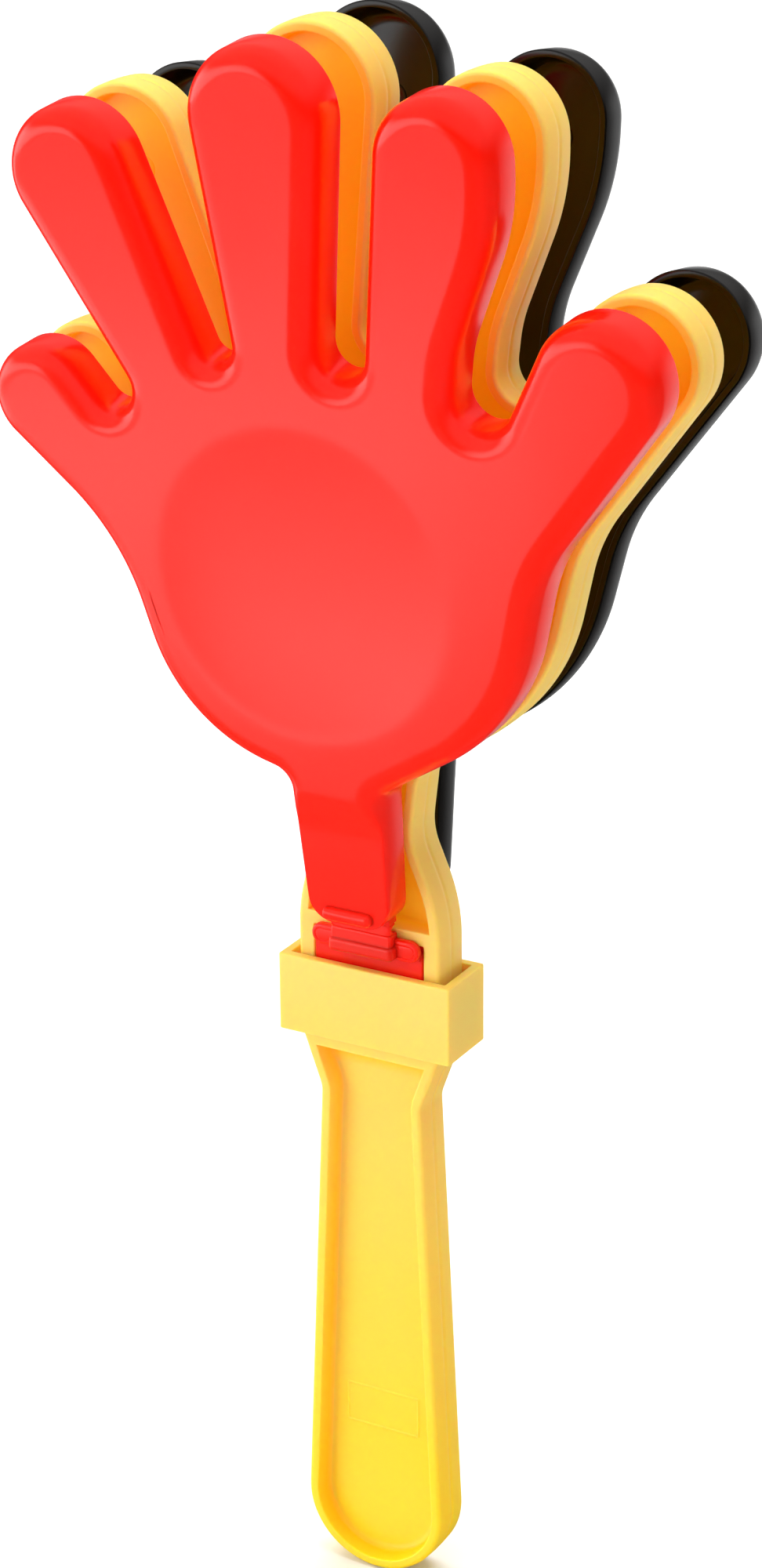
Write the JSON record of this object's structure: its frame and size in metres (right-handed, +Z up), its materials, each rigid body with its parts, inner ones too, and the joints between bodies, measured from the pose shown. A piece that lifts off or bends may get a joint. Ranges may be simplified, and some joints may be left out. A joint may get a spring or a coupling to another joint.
{
  "type": "hand clapper",
  "caption": "Hand-shaped clapper: a middle hand on a moulded grip between two hollow outer hands on living hinges, with a sliding locking collar.",
  "frame": {"origin": "centre of the grip, in the mid-plane of the handle", "axes": "+Z up along the handle from the grip to the fingers, +X towards the thumbs, -Y out of the front (red) hand's face"},
  "size_m": [0.1229, 0.0504, 0.2799],
  "materials": {
    "yellow_plastic": "warm yellow moulded polypropylene, satin",
    "red_plastic": "bright red moulded polypropylene, glossy",
    "black_plastic": "black moulded polypropylene, glossy"
  },
  "bodies": {
    "handle": {"middle_hand_handle": "yellow_plastic", "front_living_hinge": "red_plastic", "front_hinge_tab": "red_plastic", "rear_living_hinge": "black_plastic", "rear_hinge_tab": "black_plastic"},
    "front_hand": {"front_hand_shell": "red_plastic"},
    "rear_hand": {"rear_hand_shell": "black_plastic"},
    "collar": {"locking_collar": "yellow_plastic"}
  },
  "joints": [
    {"name": "front_hand_hinge", "type": "hinge", "parent": "handle", "child": "front_hand", "pos_m": [0, -0.00675, 0.0758], "axis": [1, 0, 0], "range_deg": [-4.2, 75], "stiffness_Nm_per_rad": 0.08},
    {"name": "rear_hand_hinge", "type": "hinge", "parent": "handle", "child": "rear_hand", "pos_m": [0, 0.00675, 0.0758], "axis": [-1, 0, 0], "range_deg": [-4.9, 75], "stiffness_Nm_per_rad": 0.08},
    {"name": "collar_slide", "type": "slide", "parent": "handle", "child": "collar", "axis": [0, 0, 1], "range_m": [-0.105, 0.0027]}
  ]
}
